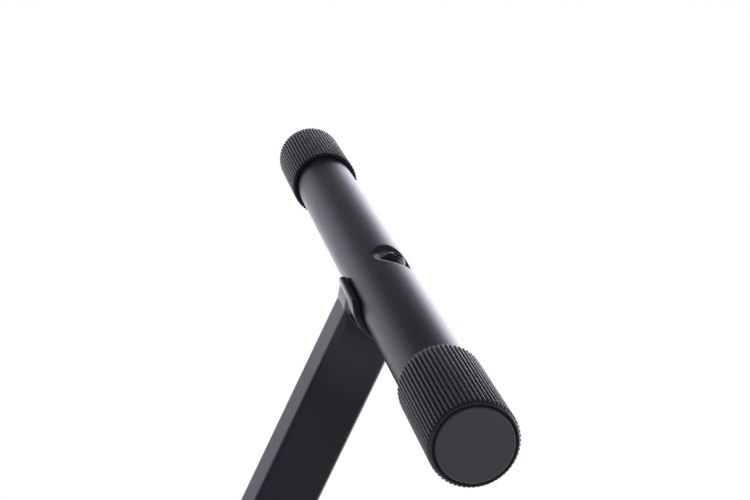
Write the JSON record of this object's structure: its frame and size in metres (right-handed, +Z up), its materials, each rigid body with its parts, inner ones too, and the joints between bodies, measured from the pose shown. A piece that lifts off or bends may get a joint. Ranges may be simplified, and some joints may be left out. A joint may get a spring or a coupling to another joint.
{
  "type": "folding keyboard stand",
  "caption": "Folding X stand for a keyboard: crossed rectangular legs on a toothed clutch, round support arms and feet with ribbed end caps, and a rear hand knob.",
  "frame": {"origin": "on the floor, at the bottom centre of the bounding box, under the pivot", "axes": "+Z up, +X to the right across the stand, +Y to the rear along the arms and the pivot"},
  "size_m": [0.458, 0.48, 0.9225],
  "materials": {
    "powder_coat": "satin black powder coat on steel tube",
    "cap_rubber": "matte black ribbed rubber",
    "moulded_black": "semi-gloss moulded black plastic",
    "dark_steel": "blackened steel bolt",
    "zinc_plate": "bright zinc-plated steel",
    "cast_steel": "phosphated cast steel",
    "knob_plastic": "fine-textured black nylon",
    "brass_insert": "plain turned brass"
  },
  "bodies": {
    "front_leg": {"front_leg_tube": "powder_coat", "front_leg_upper_saddle": "moulded_black", "front_leg_lower_saddle": "moulded_black", "front_leg_sleeve": "zinc_plate", "right_arm_tube": "powder_coat", "right_arm_front_cap": "cap_rubber", "right_arm_rear_cap": "cap_rubber", "right_arm_bolt": "dark_steel", "right_arm_nut_plate": "zinc_plate", "left_foot_tube": "powder_coat", "left_foot_front_cap": "cap_rubber", "left_foot_rear_cap": "cap_rubber", "left_foot_bolt": "dark_steel", "left_foot_nut_plate": "zinc_plate", "front_clutch_disc": "cast_steel", "pivot_bolt": "zinc_plate", "clutch_spring": "zinc_plate"},
    "pivot_slide": {"thrust_washer": "zinc_plate"},
    "rear_leg": {"rear_leg_tube": "powder_coat", "rear_leg_upper_saddle": "moulded_black", "rear_leg_lower_saddle": "moulded_black", "rear_leg_sleeve": "zinc_plate", "left_arm_tube": "powder_coat", "left_arm_front_cap": "cap_rubber", "left_arm_rear_cap": "cap_rubber", "left_arm_bolt": "dark_steel", "left_arm_nut_plate": "zinc_plate", "right_foot_tube": "powder_coat", "right_foot_front_cap": "cap_rubber", "right_foot_rear_cap": "cap_rubber", "right_foot_bolt": "dark_steel", "right_foot_nut_plate": "zinc_plate", "rear_clutch_disc": "cast_steel"},
    "knob": {"hand_knob": "knob_plastic", "knob_insert": "brass_insert"}
  },
  "joints": [
    {"name": "clutch_close", "type": "slide", "parent": "front_leg", "child": "pivot_slide", "axis": [0, -1, 0], "range_m": [0, 0.003], "deforming": ["clutch_spring"]},
    {"name": "fold", "type": "hinge", "parent": "pivot_slide", "child": "rear_leg", "pos_m": [0, 0, 0.46126], "axis": [0, 1, 0], "range_deg": [-60, 45]},
    {"name": "knob_turn", "type": "hinge", "parent": "pivot_slide", "child": "knob", "pos_m": [0, 0, 0.46126], "axis": [0, -1, 0], "range_deg": [0, 720]}
  ],
  "couplings": [
    {"joint": "knob_turn", "follows": "clutch_close", "rad_per_m": 4188.8}
  ]
}
